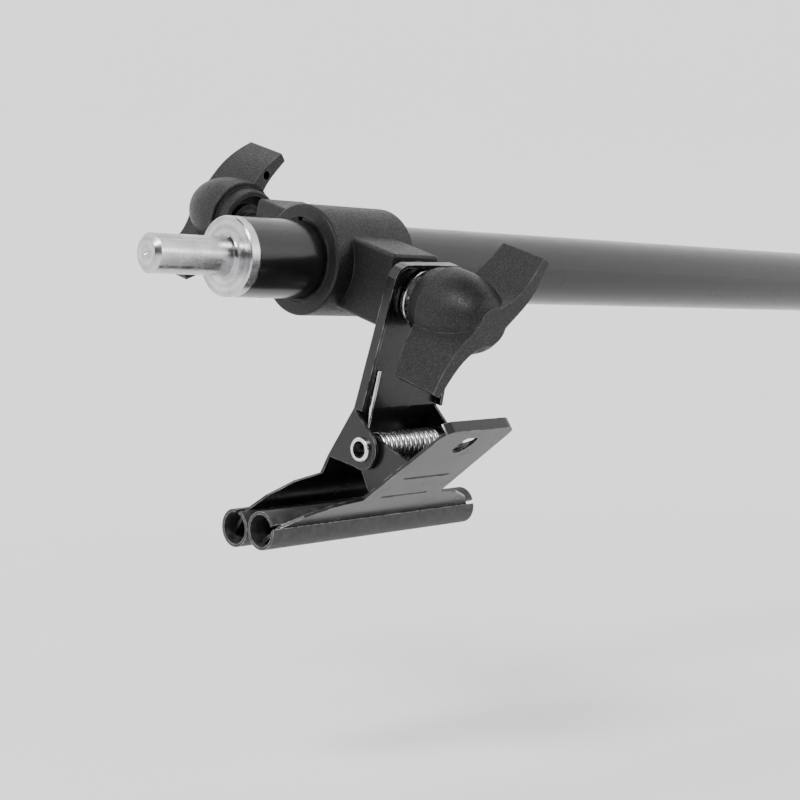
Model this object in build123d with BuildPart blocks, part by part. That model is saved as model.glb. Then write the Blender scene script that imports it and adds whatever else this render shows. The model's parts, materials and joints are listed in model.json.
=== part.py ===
"""Boom arm with a lockable clip collar: tube with a steel end stud, a sliding and turning
collar with two wing knobs, and a sprung clip with two long round-edged jaws.

Row frame, millimetres: the tube axis is X, the origin is the middle of the stud's shoulder
face, the stud points along -X and Z is up. The collar's boss axis leans below -Y by `lean`.
"""
import os
from math import asin, atan2, cos, degrees, hypot, radians, sin

from build123d import *

# --- tube and stud ---------------------------------------------------------------------
tube_d = 25.0
tube_wall = 1.5
tube_start = 3.8
tube_length = 500.0
stud_d = 12.0
stud_length = 30.0
stud_tip_d = 8.6
stud_tip_chamfer = 1.3
stud_root_fillet = 1.8
shoulder_thickness = 3.7
plug_length = 22.0
stake_hole_d = 3.2
stake_hole_x = 13.5
cap_flange = 2.6
cap_shank = 16.0
fit_gap = 0.05

# --- collar ----------------------------------------------------------------------------
collar_d = 35.6
collar_length = 35.0
boss_x = 48.0
lean = 18.2
boss_width = 20.6
boss_height = 23.4
boss_end = 33.5
liner_wall = 1.0
liner_gap = 0.08
liner_split = 2.0
insert_d = 11.0
insert_length = 14.0
screw_d = 8.0
screw_gap = 0.05
pad_d = 10.2
pad_inner_face = 13.98
pad_thickness = 2.4

# --- wing knob, heights measured outward from its neck end -------------------------------
knob_height = 26.0
knob_neck_d = 22.2
knob_rim_d = 25.8
knob_rim_height = 5.3
knob_crown_d = 12.0
knob_dome_centre = 9.0
knob_recess_d = 19.0
knob_recess_depth = 4.0
knob_core_d = 12.0
knob_core_drop = 1.6
wing_inner_height = 8.8
wing_radius = 28.0
core_hole_d = 3.2
core_hole_reach = 17.6
front_neck_end = 44.0
rear_neck_end = 46.5
front_wing_angle = 50.8
rear_wing_angle = -53.3

# --- stack between the front boss and its knob -------------------------------------------
pivot_washer_d = 20.4
pivot_washer_end = 37.5
flat_washer_d = 18.6
flat_washer_start = 39.1
flat_washer_end = 40.7
hex_flats = 13.0
hex_end = 45.3

# --- clip, measured in the clip plane: along the jaw, up the plate, out from the boss ----
clip_swing = 1.5
sheet = 1.0
back_face = 37.8
back_top = 10.8
back_top_half = 15.0
ear_half = 18.0
back_rim = 3.5
bend_y = -36.0
bend_angle = 20.8
pin_y = -47.3
pin_z = 44.6
ear_radius = 6.3
rivet_shank_d = 6.8
rivet_bore_d = 5.4
rivet_head_d = 7.8
rivet_head = 1.1
pivot_gap = 0.06
jaw_length = 89.5
jaw_d = 12.0
jaw_wall = 1.0
front_jaw_y, front_jaw_z = -75.3, 35.7
jaw_pitch = 12.4
lever_neck_y, lever_neck_z = -62.67, 49.1
lever_tilt = 39.36
lever_top = 41.4
lever_neck_half = 17.2
lever_top_half = 15.4
lever_rim = 3.7
lever_end = -22.3
cheek_outer_half = 16.1
lug_radius = 5.4
thumb_slot_width = 6.5
thumb_slot_length = 10.0
thumb_slot_s = 32.3
wire_d = 1.6
coil_mean_d = 8.8
coil_half = 13.0

tube_r = tube_d / 2
screw_r = screw_d / 2
collar_start = boss_x - collar_length / 2
liner_inner_r = tube_r + liner_gap
liner_outer_r = liner_inner_r + liner_wall
collar_bore_r = liner_outer_r + liner_gap

out_dir = Vector(0, -cos(radians(lean)), -sin(radians(lean)))
up_dir = Vector(0, -sin(radians(lean)), cos(radians(lean)))
jaw_dir = Vector(1, 0, 0) * cos(radians(clip_swing)) + up_dir * sin(radians(clip_swing))
clip_up = up_dir * cos(radians(clip_swing)) - Vector(1, 0, 0) * sin(radians(clip_swing))
boss_centre = Vector(boss_x, 0, 0)


def turned(plane, angle):
    """The same plane with its x direction turned about its normal."""
    x_dir = plane.x_dir * cos(radians(angle)) + plane.y_dir * sin(radians(angle))
    return Plane(origin=plane.origin, x_dir=x_dir, z_dir=plane.z_dir)


def tube_plane(x):
    """Plane square to the tube at x, its normal along +X."""
    return Plane(origin=(x, 0, 0), x_dir=(0, 1, 0), z_dir=(1, 0, 0))


def front_plane(height):
    """Plane square to the boss axis on the clip side."""
    return Plane(origin=boss_centre + out_dir * height, x_dir=(1, 0, 0), z_dir=out_dir)


def rear_plane(height):
    """Plane square to the boss axis on the tube-lock side."""
    return Plane(origin=boss_centre - out_dir * height, x_dir=(1, 0, 0), z_dir=-out_dir)


def clip_plane(height):
    """Plane parallel to the back plate, at a height out from the boss axis origin."""
    return Plane(origin=boss_centre + out_dir * height, x_dir=jaw_dir, z_dir=out_dir)


def side_plane(along):
    """Plane square to the jaws; its x runs up the back plate and its y out from the boss."""
    return Plane(origin=boss_centre + jaw_dir * along, x_dir=clip_up, z_dir=jaw_dir)


def clip_point(along, up, out):
    return boss_centre + jaw_dir * along + clip_up * up + out_dir * out


lever_up = clip_up * cos(radians(lever_tilt)) + out_dir * sin(radians(lever_tilt))
lever_out = out_dir * cos(radians(lever_tilt)) - clip_up * sin(radians(lever_tilt))
lever_origin = clip_point(0, lever_neck_y, lever_neck_z)


def lever_plane(height):
    """Plane of the lever's outer face, moved out by height; its y runs up the lever."""
    return Plane(origin=lever_origin + lever_out * height, x_dir=jaw_dir, z_dir=lever_out)


def lever_side_plane(along):
    """Plane square to the jaws; its x runs up the lever and its y out of its face."""
    return Plane(origin=lever_origin + jaw_dir * along, x_dir=lever_up, z_dir=jaw_dir)


def lever_coords(y, z):
    """Clip side coordinates turned into lever side coordinates."""
    dy, dz = y - lever_neck_y, z - lever_neck_z
    c, s = cos(radians(lever_tilt)), sin(radians(lever_tilt))
    return dy * c + dz * s, dz * c - dy * s


pin_s, pin_w = lever_coords(pin_y, pin_z)
jaw_s, jaw_w = lever_coords(front_jaw_y, front_jaw_z)
back_jaw_y = front_jaw_y - jaw_pitch * sin(radians(lean))
back_jaw_z = front_jaw_z - jaw_pitch * cos(radians(lean))
bend_cos, bend_sin = cos(radians(bend_angle)), sin(radians(bend_angle))
back_jaw_t = (bend_y - back_jaw_y) * bend_cos + (back_face - back_jaw_z) * bend_sin


def make_boom_tube():
    with BuildPart() as part:
        with BuildSketch(tube_plane(tube_start)):
            Circle(tube_r)
            Circle(tube_r - tube_wall, mode=Mode.SUBTRACT)
        extrude(amount=tube_length)
        with BuildSketch(Plane.XY.offset(-tube_r - 1)):
            with Locations((stake_hole_x, 0)):
                Circle(stake_hole_d / 2)
        extrude(amount=tube_wall + 2, mode=Mode.SUBTRACT)
    return part


def make_end_stud():
    plug_r = tube_r - tube_wall - fit_gap
    stud_r = stud_d / 2
    with BuildPart() as part:
        with BuildSketch(Plane.XZ):
            with BuildLine():
                Polyline(
                    (-stud_length + 0.9, 0), (-stud_length, 0.9), (-stud_length, stud_tip_d / 2),
                    (-stud_length + stud_tip_chamfer, stud_r), (-stud_root_fillet, stud_r),
                )
                ThreePointArc(
                    (-stud_root_fillet, stud_r),
                    (-stud_root_fillet * 0.293, stud_r + stud_root_fillet * 0.293),
                    (0, stud_r + stud_root_fillet),
                )
                Polyline(
                    (0, stud_r + stud_root_fillet), (0, tube_r - 0.4), (0.4, tube_r),
                    (shoulder_thickness - 0.3, tube_r), (shoulder_thickness, tube_r - 0.3),
                    (shoulder_thickness, plug_r), (plug_length - 1, plug_r),
                    (plug_length, plug_r - 1), (plug_length, 0), (-stud_length + 0.9, 0),
                )
            make_face()
        revolve(axis=Axis.X)
        with BuildSketch(Plane.XY.offset(-tube_r)):
            with Locations((stake_hole_x, 0)):
                Circle(stake_hole_d / 2)
        extrude(amount=tube_wall + 1.6, mode=Mode.SUBTRACT)
    return part


def make_end_cap():
    end = tube_start + tube_length
    with BuildPart() as part:
        with BuildSketch(tube_plane(end)):
            Circle(tube_r)
        extrude(amount=cap_flange)
        fillet(part.edges().filter_by(GeomType.CIRCLE).sort_by(Axis.X)[-1], 1.2)
        with BuildSketch(tube_plane(end - cap_shank)):
            Circle(tube_r - tube_wall - fit_gap)
            Circle(tube_r - tube_wall - fit_gap - 1.8, mode=Mode.SUBTRACT)
        extrude(amount=cap_shank)
    return part


def make_collar_liner():
    with BuildPart() as part:
        with BuildSketch(tube_plane(collar_start + 0.5)):
            Circle(liner_outer_r)
            Circle(liner_inner_r, mode=Mode.SUBTRACT)
            with Locations((0, tube_r + 1)):
                Rectangle(liner_split, 6, mode=Mode.SUBTRACT)
        extrude(amount=collar_length - 1.0)
    return part


def make_collar():
    with BuildPart() as part:
        with BuildSketch(tube_plane(collar_start)):
            Circle(collar_d / 2)
        extrude(amount=collar_length)
        fillet(part.edges().filter_by(GeomType.CIRCLE), 0.9)
        for plane in (front_plane(5), rear_plane(5)):
            with BuildSketch(plane):
                RectangleRounded(boss_width, boss_height, 1.4)
            extrude(amount=boss_end - 5)
        ends = part.faces().filter_by(GeomType.PLANE).filter_by(
            lambda f: abs(abs(f.center().Y * out_dir.Y + f.center().Z * out_dir.Z) - boss_end) < 0.01
        )
        fillet(ends.edges(), 1.1)
        with BuildSketch(tube_plane(collar_start - 1)):
            Circle(collar_bore_r)
        extrude(amount=collar_length + 2, mode=Mode.SUBTRACT)
        for plane in (front_plane(8), rear_plane(8)):
            with BuildSketch(plane):
                Circle(insert_d / 2)
            extrude(amount=boss_end, mode=Mode.SUBTRACT)
    return part


def make_insert(plane_at):
    """Threaded bush with two ring grooves, sunk just below the boss face."""
    start = boss_end - insert_length - 0.3
    with BuildPart() as part:
        with BuildSketch(plane_at(start)):
            Circle(insert_d / 2)
        extrude(amount=insert_length)
        for groove in (0.3, 0.6):
            with BuildSketch(plane_at(start + insert_length * groove)):
                Circle(insert_d / 2)
                Circle(insert_d / 2 - 0.7, mode=Mode.SUBTRACT)
            extrude(amount=1.2, mode=Mode.SUBTRACT)
        with BuildSketch(plane_at(start - 1)):
            Circle(screw_r + screw_gap)
        extrude(amount=insert_length + 2, mode=Mode.SUBTRACT)
    return part


def make_pressure_pad():
    """Small round pad whose inner face is hollowed to the liner's curve."""
    with BuildPart() as part:
        with BuildSketch(rear_plane(10)):
            Circle(pad_d / 2)
        extrude(amount=pad_inner_face + pad_thickness - 10)
        with BuildSketch(tube_plane(boss_x - pad_d)):
            Circle(pad_inner_face)
        extrude(amount=2 * pad_d, mode=Mode.SUBTRACT)
    return part


def make_knob(plane_at, neck_end, wing_angle):
    """Wing knob: domed hub on a recessed neck, with two blades curved the same way round."""
    rim_r, neck_r, crown_r = knob_rim_d / 2, knob_neck_d / 2, knob_crown_d / 2
    dome_rise = (knob_height - knob_dome_centre) / (1 - (crown_r / rim_r) ** 2) ** 0.5
    base = plane_at(neck_end)
    profile = Plane(origin=base.origin, x_dir=base.x_dir, z_dir=-base.y_dir)
    shoulder = [
        (rim_r * (1 - (rise / dome_rise) ** 2) ** 0.5, knob_dome_centre + rise)
        for rise in (0, 4, 8, 12, 15)
    ]
    with BuildPart() as part:
        with BuildSketch(profile):
            with BuildLine():
                Polyline(
                    (0, 0), (neck_r - 0.4, 0), (neck_r, 0.4), (neck_r + 0.15, knob_rim_height),
                    (rim_r - 0.3, knob_rim_height), (rim_r, knob_rim_height + 0.3), shoulder[0],
                )
                Spline(*shoulder, (crown_r, knob_height), tangents=[(0, 1), (-0.62, 0.78)])
                Polyline((crown_r, knob_height), (0, knob_height), (0, 0))
            make_face()
        revolve(axis=Axis(base.origin, base.z_dir))
        with BuildSketch(turned(plane_at(neck_end + knob_rim_height), wing_angle)):
            with BuildLine():
                Spline((0.5, -4.8), (7.7, -5.1), (12.7, -5.4), (18.0, -4.9), (22.8, -3.6), (27.9, -1.55))
                Line((27.9, -1.55), (27.15, 1.5))
                Spline((27.15, 1.5), (20.7, 0.3), (14.8, -0.2), (8.6, 1.1), (4.6, 3.2), (0.5, 4.8))
                Line((0.5, 4.8), (0.5, -4.8))
            make_face()
            with BuildLine():
                Spline((-0.5, 4.8), (-7.7, 5.1), (-12.7, 5.4), (-18.0, 4.9), (-22.8, 3.6), (-27.9, 1.55))
                Line((-27.9, 1.55), (-27.15, -1.5))
                Spline((-27.15, -1.5), (-20.7, -0.3), (-14.8, 0.2), (-8.6, -1.1), (-4.6, -3.2), (-0.5, -4.8))
                Line((-0.5, -4.8), (-0.5, 4.8))
            make_face()
            Circle(crown_r)
        extrude(amount=knob_height - knob_rim_height)
        with BuildSketch(profile):
            Polygon(
                (rim_r, 0), (wing_radius + 2, 0),
                (wing_radius + 2, wing_inner_height + 0.5), (rim_r, knob_rim_height),
                align=None,
            )
        revolve(axis=Axis(base.origin, base.z_dir), mode=Mode.SUBTRACT)
        with BuildSketch(base):
            Circle(knob_recess_d / 2)
            Circle(knob_core_d / 2, mode=Mode.SUBTRACT)
        extrude(amount=knob_recess_depth, mode=Mode.SUBTRACT)
        with BuildSketch(base):
            Circle(knob_core_d / 2)
        extrude(amount=knob_core_drop, mode=Mode.SUBTRACT)
        with BuildSketch(base):
            Circle(screw_r)
        extrude(amount=knob_height - 4, mode=Mode.SUBTRACT)
        with BuildSketch(turned(base, wing_angle)):
            with Locations((core_hole_reach, -2.4), (-core_hole_reach, 2.4)):
                Circle(core_hole_d / 2)
        extrude(amount=knob_rim_height + 11, mode=Mode.SUBTRACT)
    return part


def make_screw(plane_at, tip, neck_end):
    """Plain-shank stand-in for the threaded stud fixed in a knob."""
    with BuildPart() as part:
        with BuildSketch(plane_at(tip)):
            Circle(screw_r)
        extrude(amount=neck_end + knob_height - 4 - tip)
        chamfer(part.faces().sort_by(Axis(boss_centre, plane_at(0).z_dir))[0].edges(), 0.9)
    return part


def make_ring(start, end, outer_r):
    """Flat ring on the front boss axis."""
    with BuildPart() as part:
        with BuildSketch(front_plane(start)):
            Circle(outer_r)
            Circle(screw_r + 0.3, mode=Mode.SUBTRACT)
        extrude(amount=end - start)
        outer = part.edges().filter_by(GeomType.CIRCLE).filter_by(lambda e: e.radius > screw_r + 1)
        chamfer(outer, 0.25)
    return part


def make_hex_spacer():
    with BuildPart() as part:
        with BuildSketch(front_plane(flat_washer_end)):
            RegularPolygon(hex_flats / 2, 6, major_radius=False)
            Circle(screw_r + 0.3, mode=Mode.SUBTRACT)
        extrude(amount=hex_end - flat_washer_end)
        with BuildSketch(front_plane(flat_washer_end)):
            Circle(hex_flats / 2 + 0.75)
        extrude(amount=hex_end - flat_washer_end, mode=Mode.INTERSECT)
    return part


def mirrored(points):
    """Closed outline from its right-hand half, listed from top to bottom."""
    return points + [(-x, y) for x, y in reversed(points)]


def make_clip_back_plate():
    """Pressed channel: a rimmed flat for the boss, a backward bend, two ears and jaw wings."""
    end_t = back_jaw_t + (jaw_s - lever_end)
    wing_y = [bend_y - (back_jaw_t + jaw_s - s) * bend_cos for s in (0, -2.3, -7.4, -13.0)]
    low_y, low_z = bend_y - end_t * bend_cos, back_face - end_t * bend_sin
    mitre = sheet * (1 - bend_cos) / bend_sin
    with BuildPart() as part:
        with BuildSketch(side_plane(-jaw_length / 2)):
            Polygon(
                (back_top, back_face), (back_top, back_face + sheet),
                (bend_y - mitre, back_face + sheet),
                (low_y - sheet * bend_sin, low_z + sheet * bend_cos), (low_y, low_z),
                (bend_y, back_face), align=None,
            )
        extrude(amount=jaw_length)
        with BuildSketch(clip_plane(0)) as outline:
            Polygon(
                *mirrored([
                    (back_top_half, back_top), (ear_half, bend_y), (ear_half, pin_y - 7),
                    (lever_neck_half, wing_y[0]), (27, wing_y[1]), (35.9, wing_y[2]),
                    (41.5, wing_y[3]), (41.5, -95),
                ]), align=None,
            )
            fillet(outline.vertices().group_by(Axis.Y)[-1], 5)
        extrude(amount=60, mode=Mode.INTERSECT)
        for start, inset, mode in ((back_face, 0, Mode.ADD), (back_face + sheet, sheet, Mode.SUBTRACT)):
            with BuildSketch(clip_plane(start)) as tray:
                Polygon(
                    *mirrored([
                        (back_top_half - inset, back_top - inset),
                        (ear_half - inset, bend_y - 2 * inset),
                    ]), align=None,
                )
                fillet(tray.vertices().group_by(Axis.Y)[-1], 5 - inset)
            extrude(amount=back_rim + 4 * inset, mode=mode)
        for side in (-1, 1):
            with BuildSketch(side_plane(side * ear_half)):
                Polygon(
                    (bend_y - 0.3, back_face + 0.2), (pin_y + 5.55, pin_z + 2.85),
                    (pin_y - 5.9, pin_z + 2.0), (pin_y - 7.2, back_face - 6.1), align=None,
                )
                with Locations((pin_y, pin_z)):
                    Circle(ear_radius)
                    Circle(rivet_shank_d / 2 + fit_gap, mode=Mode.SUBTRACT)
            extrude(amount=-side * sheet)
        with BuildSketch(clip_plane(back_face - 1)):
            Circle(screw_r + 0.08)
        extrude(amount=4, mode=Mode.SUBTRACT)
    return part


def make_clip_lever():
    """Pressed lever: thumb slot and folded rim above, two cheeks on the pin, jaw wings below."""
    taper = (lever_neck_half - lever_top_half) / lever_top
    with BuildPart() as part:
        with BuildSketch(lever_plane(0)) as outline:
            Polygon(
                *mirrored([
                    (lever_top_half, lever_top), (lever_neck_half, 0.0), (27, -2.3), (35.9, -7.4),
                    (41.5, -13.0), (41.5, lever_end),
                ]), align=None,
            )
            fillet(outline.vertices().group_by(Axis.Y)[-1], 4)
            with Locations((0, thumb_slot_s)):
                SlotOverall(thumb_slot_length, thumb_slot_width, rotation=90, mode=Mode.SUBTRACT)
        extrude(amount=-sheet)
        for start, inset, mode in ((0, 0, Mode.ADD), (-sheet, sheet, Mode.SUBTRACT)):
            with BuildSketch(lever_plane(start)) as tray:
                Polygon(
                    *mirrored([
                        (lever_top_half - inset, lever_top - inset),
                        (lever_top_half + 5 * taper + inset * 4, lever_top - 5 - 2 * inset),
                    ]), align=None,
                )
                fillet(tray.vertices().group_by(Axis.Y)[-1], 4 - inset)
            extrude(amount=-lever_rim - 4 * inset, mode=mode)
        for side in (-1, 1):
            with BuildSketch(lever_side_plane(side * cheek_outer_half)):
                Polygon(
                    (2.5, -0.5), (23.0, -0.5), (pin_s + 4.3, pin_w - 3.2), (pin_s - 4.6, pin_w - 2.7),
                    align=None,
                )
                with Locations((pin_s, pin_w)):
                    Circle(lug_radius)
                    Circle(rivet_shank_d / 2 + pivot_gap, mode=Mode.SUBTRACT)
            extrude(amount=-side * sheet)
        for s in (12.6, 0.9):
            with BuildSketch(lever_side_plane(-10.2)):
                with Locations((s, 0.25)):
                    Circle(0.75)
            extrude(amount=20.4, mode=Mode.SUBTRACT)
            with BuildSketch(lever_side_plane(-10.2)):
                with Locations((s, -sheet)):
                    Circle(0.6)
            extrude(amount=20.4)
    return part


def make_rivet():
    """Tubular rivet with a rolled head outside each ear."""
    span = 2 * (ear_half + rivet_head)
    with BuildPart() as part:
        with BuildSketch(side_plane(-span / 2)):
            with Locations((pin_y, pin_z)):
                Circle(rivet_shank_d / 2)
        extrude(amount=span)
        for start in (-span / 2, ear_half + 0.02):
            with BuildSketch(side_plane(start)):
                with Locations((pin_y, pin_z)):
                    Circle(rivet_head_d / 2)
            extrude(amount=rivet_head - 0.02)
        rims = part.edges().filter_by(GeomType.CIRCLE).filter_by(lambda e: e.radius > rivet_shank_d / 2 + 0.1)
        fillet(rims.group_by(Axis.X)[0] + rims.group_by(Axis.X)[-1], 0.45)
        with BuildSketch(side_plane(-span / 2 - 1)):
            with Locations((pin_y, pin_z)):
                Circle(rivet_bore_d / 2)
        extrude(amount=span + 2, mode=Mode.SUBTRACT)
    return part


def make_jaw_sleeve(centre_y, centre_z, plane_at, slot_bottom, slot_top):
    """Split tube pushed over the edge of one plate; the slot runs from its middle outward."""
    with BuildPart() as part:
        with BuildSketch(side_plane(-jaw_length / 2)):
            with Locations((centre_y, centre_z)):
                Circle(jaw_d / 2)
                Circle(jaw_d / 2 - jaw_wall, mode=Mode.SUBTRACT)
        extrude(amount=jaw_length)
        with BuildSketch(plane_at):
            with Locations(((slot_bottom[0] + slot_top[0]) / 2, (slot_bottom[1] + slot_top[1]) / 2)):
                Rectangle(slot_top[0] - slot_bottom[0], slot_top[1] - slot_bottom[1])
        extrude(amount=jaw_length, both=True, mode=Mode.SUBTRACT)
    return part


def make_torsion_spring():
    """Close-wound torsion spring on the rivet with a leg along each plate."""
    mean_r = coil_mean_d / 2
    reach_s, reach_w = 33.0 - pin_s, -2.1 - pin_w
    reach = hypot(reach_s, reach_w)
    leg_angle = lever_tilt + degrees(atan2(reach_w, reach_s)) - degrees(asin(mean_r / reach))
    turns = (13 * 360 - 180 - leg_angle) / 360
    start = clip_point(-coil_half, pin_y, pin_z)
    frame = Plane(origin=start, x_dir=-out_dir, z_dir=jaw_dir)
    with BuildPart() as blank:
        with BuildLine() as path:
            Helix(2 * coil_half / turns, 2 * coil_half, mean_r, lefthand=True)
        with BuildSketch(Plane(origin=path.line @ 0, z_dir=path.line % 0)):
            Circle(wire_d / 2)
        sweep()
    coil = blank.part.moved(frame.location)
    leg_dir = clip_up * cos(radians(leg_angle)) + out_dir * sin(radians(leg_angle))
    leg_side = out_dir * cos(radians(leg_angle)) - clip_up * sin(radians(leg_angle))
    far = clip_point(coil_half, pin_y, pin_z) + leg_side * mean_r
    near = start - out_dir * mean_r
    legs = []
    for origin, direction, length in ((near, clip_up, 24.0), (far, leg_dir, 25.0)):
        legs.append(extrude(Plane(origin=origin, z_dir=direction) * Circle(wire_d / 2), amount=length))
        legs.append(Pos(*origin) * Sphere(wire_d / 2 + 0.03))
    return coil + legs


boom_tube = make_boom_tube()
end_stud = make_end_stud()
end_cap = make_end_cap()
collar_liner = make_collar_liner()
collar = make_collar()
front_insert = make_insert(front_plane)
rear_insert = make_insert(rear_plane)
pressure_pad = make_pressure_pad()
rear_knob = make_knob(rear_plane, rear_neck_end, rear_wing_angle)
rear_screw = make_screw(rear_plane, pad_inner_face + pad_thickness + 0.3, rear_neck_end)
pivot_washer = make_ring(boss_end, pivot_washer_end, pivot_washer_d / 2)
flat_washer = make_ring(flat_washer_start, flat_washer_end, flat_washer_d / 2)
hex_spacer = make_hex_spacer()
front_knob = make_knob(front_plane, front_neck_end, front_wing_angle)
front_screw = make_screw(front_plane, 20.5, front_neck_end)
clip_back_plate = make_clip_back_plate()
clip_lever = make_clip_lever()
clip_rivet = make_rivet()
torsion_spring = make_torsion_spring()
front_jaw_sleeve = make_jaw_sleeve(
    front_jaw_y, front_jaw_z, lever_side_plane(0), (jaw_s, -sheet - 0.1), (jaw_s + jaw_d, 0.15)
)
back_slot_plane = Plane(
    origin=clip_point(0, bend_y, back_face),
    x_dir=-clip_up * bend_cos - out_dir * bend_sin, z_dir=-jaw_dir,
)
back_jaw_sleeve = make_jaw_sleeve(
    back_jaw_y, back_jaw_z, back_slot_plane, (back_jaw_t - jaw_d, -0.15), (back_jaw_t, sheet + 0.1)
)

os.makedirs("parts", exist_ok=True)
for name, piece in (
    ("boom_tube", boom_tube.part), ("end_stud", end_stud.part), ("end_cap", end_cap.part),
    ("collar_liner", collar_liner.part), ("collar", collar.part),
    ("front_insert", front_insert.part), ("rear_insert", rear_insert.part),
    ("pressure_pad", pressure_pad.part), ("rear_knob", rear_knob.part),
    ("rear_screw", rear_screw.part), ("pivot_washer", pivot_washer.part),
    ("flat_washer", flat_washer.part), ("hex_spacer", hex_spacer.part),
    ("front_knob", front_knob.part), ("front_screw", front_screw.part),
    ("clip_back_plate", clip_back_plate.part), ("clip_lever", clip_lever.part),
    ("clip_rivet", clip_rivet.part), ("torsion_spring", torsion_spring),
    ("front_jaw_sleeve", front_jaw_sleeve.part), ("back_jaw_sleeve", back_jaw_sleeve.part),
):
    piece.label = name
    export_step(piece, "parts/" + name + ".step")
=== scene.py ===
"""Looks for the clip holder arm: materials, studio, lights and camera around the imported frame."""
import json

import bpy
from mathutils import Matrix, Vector

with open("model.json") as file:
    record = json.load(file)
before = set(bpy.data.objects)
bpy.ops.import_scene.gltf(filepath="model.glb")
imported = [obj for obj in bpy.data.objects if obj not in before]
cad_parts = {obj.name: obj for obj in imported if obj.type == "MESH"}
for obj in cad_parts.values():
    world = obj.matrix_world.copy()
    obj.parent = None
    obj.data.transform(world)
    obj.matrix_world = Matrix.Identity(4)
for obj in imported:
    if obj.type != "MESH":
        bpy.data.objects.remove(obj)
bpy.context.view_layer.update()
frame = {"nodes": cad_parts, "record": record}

CAMERA_AT = (-0.3426, -0.4116, -0.0259)
CAMERA_FORWARD = (0.7128, 0.7006, -0.0338)
LENS_MM = 78.4
FLOOR_Z = -0.17
WORLD_STRENGTH = 1.9
AXIAL_RINGS = 11000.0
FACE_RINGS = 13000.0
FACE_BANDS = 2600.0


class Shader:
    """A material's node tree with short helpers for the nodes it uses."""

    def __init__(self, name):
        self.material = bpy.data.materials.new(name)
        self.material.use_nodes = True
        self.tree = self.material.node_tree
        self.bsdf = self.tree.nodes["Principled BSDF"]
        self.place = self.node("ShaderNodeTexCoord").outputs["Object"]

    def node(self, kind, **settings):
        made = self.tree.nodes.new(kind)
        for key, value in settings.items():
            setattr(made, key, value)
        return made

    def link(self, source, target):
        self.tree.links.new(source, target)

    def noise(self, size, detail=3.0):
        """Noise whose features are about size metres."""
        noise = self.node("ShaderNodeTexNoise")
        noise.inputs["Scale"].default_value = 1.0 / size
        noise.inputs["Detail"].default_value = detail
        self.link(self.place, noise.inputs["Vector"])
        return noise.outputs["Fac"]

    def remap(self, value, low, high, to_low, to_high):
        made = self.node("ShaderNodeMapRange")
        for name, number in (
            ("From Min", low), ("From Max", high), ("To Min", to_low), ("To Max", to_high),
        ):
            made.inputs[name].default_value = number
        self.link(value, made.inputs["Value"])
        return made.outputs["Result"]

    def math(self, operation, a, b=None):
        made = self.node("ShaderNodeMath", operation=operation)
        for socket, value in zip(made.inputs, (a, b)):
            if value is None:
                continue
            if isinstance(value, (int, float)):
                socket.default_value = value
            else:
                self.link(value, socket)
        return made.outputs[0]

    def blend(self, factor, dark, light):
        made = self.node("ShaderNodeMix", data_type="RGBA")
        self.link(factor, made.inputs["Factor"])
        for socket, value in ((made.inputs[6], dark), (made.inputs[7], light)):
            if isinstance(value, tuple):
                socket.default_value = (*value, 1)
            else:
                self.link(value, socket)
        return made.outputs[2]

    def edges(self, radius):
        """One where the surface turns a corner within radius, zero on its flats."""
        bevel = self.node("ShaderNodeBevel", samples=6)
        bevel.inputs["Radius"].default_value = radius
        geometry = self.node("ShaderNodeNewGeometry")
        dot = self.node("ShaderNodeVectorMath", operation="DOT_PRODUCT")
        self.link(bevel.outputs["Normal"], dot.inputs[0])
        self.link(geometry.outputs["Normal"], dot.inputs[1])
        return self.remap(dot.outputs["Value"], 0.99, 0.86, 0.0, 1.0)

    def bump(self, height, depth, strength=1.0):
        bump = self.node("ShaderNodeBump")
        bump.inputs["Distance"].default_value = depth
        bump.inputs["Strength"].default_value = strength
        self.link(height, bump.inputs["Height"])
        self.link(bump.outputs["Normal"], self.bsdf.inputs["Normal"])

    def colour(self, value):
        if isinstance(value, tuple):
            self.bsdf.inputs["Base Color"].default_value = (*value, 1)
        else:
            self.link(value, self.bsdf.inputs["Base Color"])

    def rough(self, value):
        if isinstance(value, float):
            self.bsdf.inputs["Roughness"].default_value = value
        else:
            self.link(value, self.bsdf.inputs["Roughness"])


def painted(name, colour, rough, coat, wear, wear_radius):
    """Black paint on steel: faint orange peel, dust in the roughness, metal where the edges rub."""
    s = Shader(name)
    worn = s.math("MULTIPLY", s.edges(wear_radius), s.remap(s.noise(0.004), 0.42, 0.62, 0.0, wear))
    lighter = tuple(c * 2.2 for c in colour)
    s.colour(s.blend(worn, s.blend(s.noise(0.03), colour, lighter), (0.42, 0.41, 0.40)))
    smear = s.remap(s.noise(0.012, 5.0), 0.3, 0.7, rough * 0.85, rough * 1.25)
    s.rough(s.math("ADD", smear, s.math("MULTIPLY", worn, 0.12)))
    s.link(worn, s.bsdf.inputs["Metallic"])
    s.bsdf.inputs["Specular IOR Level"].default_value = 0.3
    s.bsdf.inputs["Coat Weight"].default_value = coat
    s.bsdf.inputs["Coat Roughness"].default_value = rough * 0.5
    s.bump(s.noise(0.0011, 2.0), 0.00002, 0.5)
    return s.material


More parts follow.
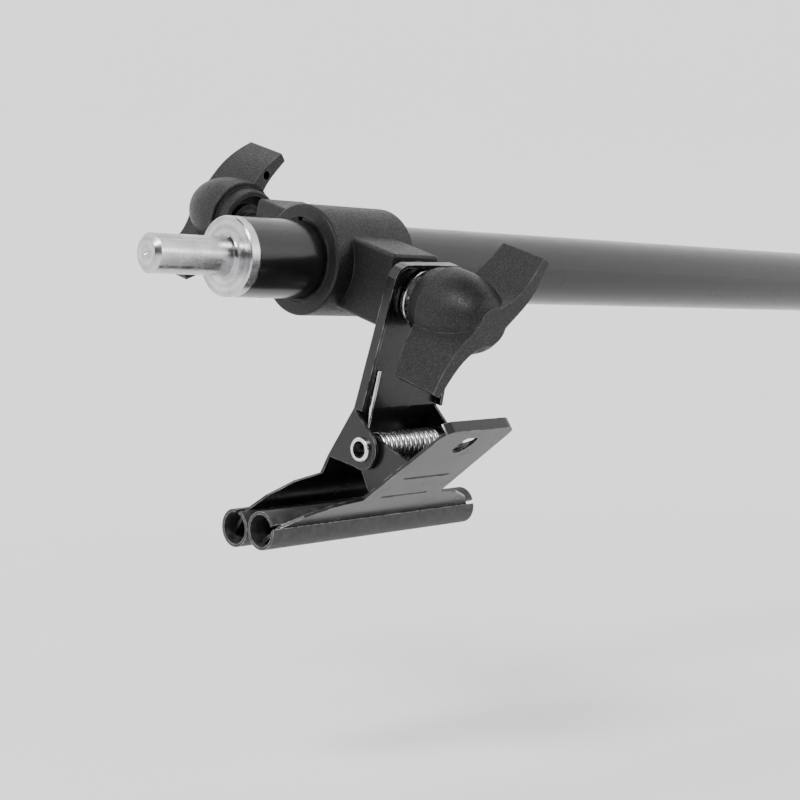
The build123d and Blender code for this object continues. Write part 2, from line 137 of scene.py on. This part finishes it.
def turned_steel(name):
    """Lathe rings: along the shaft on the side wall, round the axis on the end faces."""
    s = Shader(name)
    split = s.node("ShaderNodeSeparateXYZ")
    s.link(s.place, split.inputs[0])
    square = s.math(
        "ADD",
        s.math("MULTIPLY", split.outputs["Y"], split.outputs["Y"]),
        s.math("MULTIPLY", split.outputs["Z"], split.outputs["Z"]),
    )
    reach = s.math("SQRT", square)
    turns = s.math("ADD", s.math("MULTIPLY", split.outputs["X"], AXIAL_RINGS),
                   s.math("MULTIPLY", reach, FACE_RINGS))
    wobble = s.math("MULTIPLY", s.noise(0.0015, 2.0), 5.0)
    rings = s.math("MULTIPLY", s.math("SINE", s.math("ADD", turns, wobble)), 0.5)
    bands = s.math("SINE", s.math("MULTIPLY", reach, FACE_BANDS))
    tone = s.math("ADD", s.remap(s.noise(0.006), 0.3, 0.7, 0.1, 0.8), s.math("MULTIPLY", bands, 0.2))
    s.colour(s.blend(tone, (0.34, 0.34, 0.35), (0.62, 0.62, 0.63)))
    s.bsdf.inputs["Metallic"].default_value = 1.0
    s.rough(s.remap(s.noise(0.004, 4.0), 0.3, 0.7, 0.18, 0.32))
    s.bump(rings, 0.000012, 0.8)
    return s.material


def plated(name, dark, light, rough):
    """Bright plating with soft cloudy patches and fine scratches."""
    s = Shader(name)
    s.colour(s.blend(s.remap(s.noise(0.003, 4.0), 0.3, 0.7, 0.0, 1.0), dark, light))
    s.bsdf.inputs["Metallic"].default_value = 1.0
    s.rough(s.remap(s.noise(0.0015, 5.0), 0.3, 0.7, rough * 0.8, rough * 1.4))
    s.bump(s.noise(0.0006, 2.0), 0.00001, 0.5)
    return s.material


def grained_plastic(name, dark, light, grain, depth, rub):
    """Moulded glass-filled plastic: fine sparkling grain, rubbed lighter on its edges."""
    s = Shader(name)
    speck = s.remap(s.noise(grain, 2.0), 0.45, 0.68, 0.0, 1.0)
    base = s.blend(speck, dark, light)
    rubbed = s.math("MULTIPLY", s.edges(0.0007), s.remap(s.noise(0.003), 0.35, 0.65, 0.2, 1.0))
    s.colour(s.blend(s.math("MULTIPLY", rubbed, rub), base, (0.30, 0.30, 0.30)))
    s.rough(s.remap(s.noise(grain * 1.7, 3.0), 0.3, 0.7, 0.34, 0.62))
    s.bsdf.inputs["Specular IOR Level"].default_value = 0.28
    s.bump(s.noise(grain, 3.0), depth, 0.8)
    return s.material


def mottled_rubber(name):
    """Matte black sleeve with cloudy mottling and paler cut edges."""
    s = Shader(name)
    cloud = s.remap(s.noise(0.0025, 5.0), 0.4, 0.66, 0.0, 1.0)
    base = s.blend(cloud, (0.012, 0.012, 0.012), (0.045, 0.045, 0.044))
    cut = s.math("MULTIPLY", s.edges(0.0005), s.remap(s.noise(0.0012, 3.0), 0.4, 0.6, 0.1, 1.0))
    s.colour(s.blend(s.math("MULTIPLY", cut, 0.8), base, (0.34, 0.33, 0.31)))
    s.rough(s.remap(cloud, 0.0, 1.0, 0.55, 0.8))
    s.bump(s.noise(0.0008, 4.0), 0.00006, 0.7)
    return s.material


collar_plastic = grained_plastic(
    "collar_plastic", (0.004, 0.004, 0.0044), (0.020, 0.020, 0.021), 0.00045, 0.00004, 0.22)
knob_plastic = grained_plastic(
    "knob_plastic", (0.004, 0.004, 0.0044), (0.026, 0.026, 0.027), 0.0004, 0.00004, 0.25)
plain_plastic = grained_plastic(
    "plain_plastic", (0.006, 0.006, 0.006), (0.014, 0.014, 0.014), 0.0009, 0.00003, 0.2)
tube_paint = painted("tube_paint", (0.003, 0.003, 0.0033), 0.23, 0.25, 0.3, 0.0005)
clip_paint = painted("clip_paint", (0.004, 0.004, 0.0045), 0.24, 0.12, 0.7, 0.0004)
steel = turned_steel("turned_steel")
zinc = plated("zinc_steel", (0.50, 0.50, 0.50), (0.80, 0.80, 0.80), 0.22)
wire = plated("spring_wire", (0.42, 0.42, 0.42), (0.78, 0.77, 0.76), 0.20)
brass = plated("brass", (0.55, 0.38, 0.14), (0.78, 0.60, 0.30), 0.28)
rubber = mottled_rubber("jaw_rubber")

LOOKS = {
    "tube_paint": tube_paint,
    "turned_steel": steel,
    "black_plastic": plain_plastic,
    "liner_plastic": plain_plastic,
    "collar_plastic": collar_plastic,
    "knob_plastic": knob_plastic,
    "brass": brass,
    "zinc_steel": zinc,
    "clip_paint": clip_paint,
    "spring_wire": wire,
    "jaw_rubber": rubber,
}
for part in frame["record"]["subparts"]:
    piece = frame["nodes"][part["node"]]
    piece.data.materials.clear()
    piece.data.materials.append(LOOKS[part["material_slot"]])


def make_floor():
    """A pale floor that curves up into a backdrop well behind the object."""
    profile = [(-2.2, 0.0), (1.6, 0.0), (1.9, 0.06), (2.1, 0.22), (2.2, 0.5), (2.2, 3.0)]
    width = 5.0
    forward = Vector((0.7128, 0.7006, 0)).normalized()
    side = Vector((forward.y, -forward.x, 0))
    corners, faces = [], []
    for along, height in profile:
        for across in (-width, width):
            spot = forward * along + side * across
            corners.append((spot.x, spot.y, FLOOR_Z + height))
    for i in range(len(profile) - 1):
        faces.append((2 * i, 2 * i + 1, 2 * i + 3, 2 * i + 2))
    mesh = bpy.data.meshes.new("floor")
    mesh.from_pydata(corners, [], faces)
    for polygon in mesh.polygons:
        polygon.use_smooth = True
    floor = bpy.data.objects.new("floor", mesh)
    bpy.context.scene.collection.objects.link(floor)
    s = Shader("floor_paper")
    s.colour(s.blend(s.noise(0.4), (0.93, 0.93, 0.93), (0.96, 0.96, 0.96)))
    s.rough(0.85)
    mesh.materials.append(s.material)
    return floor


def make_light(name, spot, aim, size, watts):
    data = bpy.data.lights.new(name, "AREA")
    data.shape = "RECTANGLE"
    data.size, data.size_y = size
    data.energy = watts
    light = bpy.data.objects.new(name, data)
    bpy.context.scene.collection.objects.link(light)
    light.location = spot
    light.rotation_euler = (Vector(aim) - Vector(spot)).to_track_quat("-Z", "Y").to_euler()


def make_card(name, spot, aim, size):
    """A black card that darkens what the object reflects. It is out of shot."""
    width, height = size[0] / 2, size[1] / 2
    mesh = bpy.data.meshes.new(name)
    mesh.from_pydata(
        [(-width, -height, 0), (width, -height, 0), (width, height, 0), (-width, height, 0)],
        [], [(0, 1, 2, 3)])
    card = bpy.data.objects.new(name, mesh)
    bpy.context.scene.collection.objects.link(card)
    card.location = spot
    card.rotation_euler = (Vector(aim) - Vector(spot)).to_track_quat("-Z", "Y").to_euler()
    card.visible_camera = False
    s = Shader(name + "_cloth")
    s.colour(s.blend(s.noise(0.02), (0.008, 0.008, 0.008), (0.014, 0.014, 0.014)))
    s.rough(0.9)
    mesh.materials.append(s.material)
    return card


make_floor()
make_card("card_front", (-0.85, -1.05, 0.35), (0.05, 0, 0), (2.6, 1.5))
make_card("card_top", (0.0, -0.2, 1.15), (0.05, 0, 0), (1.5, 1.3))
make_light("key", (-0.9, -0.4, 0.9), (0.1, 0, -0.02), (0.4, 0.3), 14.0)
make_light("fill", (0.4, -0.9, 0.25), (0.1, 0, -0.03), (0.4, 0.3), 2.5)
make_light("top", (0.3, 0.1, 1.3), (0.2, 0, 0), (1.2, 0.8), 9.0)

world = bpy.data.worlds.new("studio")
bpy.context.scene.world = world
world.use_nodes = True
background = world.node_tree.nodes["Background"]
background.inputs["Color"].default_value = (1, 1, 1, 1)
background.inputs["Strength"].default_value = WORLD_STRENGTH

camera_data = bpy.data.cameras.new("camera")
camera_data.lens = LENS_MM
camera_data.clip_start = 0.02
camera = bpy.data.objects.new("camera", camera_data)
bpy.context.scene.collection.objects.link(camera)
camera.location = CAMERA_AT
camera.rotation_euler = Vector(CAMERA_FORWARD).to_track_quat("-Z", "Y").to_euler()
bpy.context.scene.camera = camera
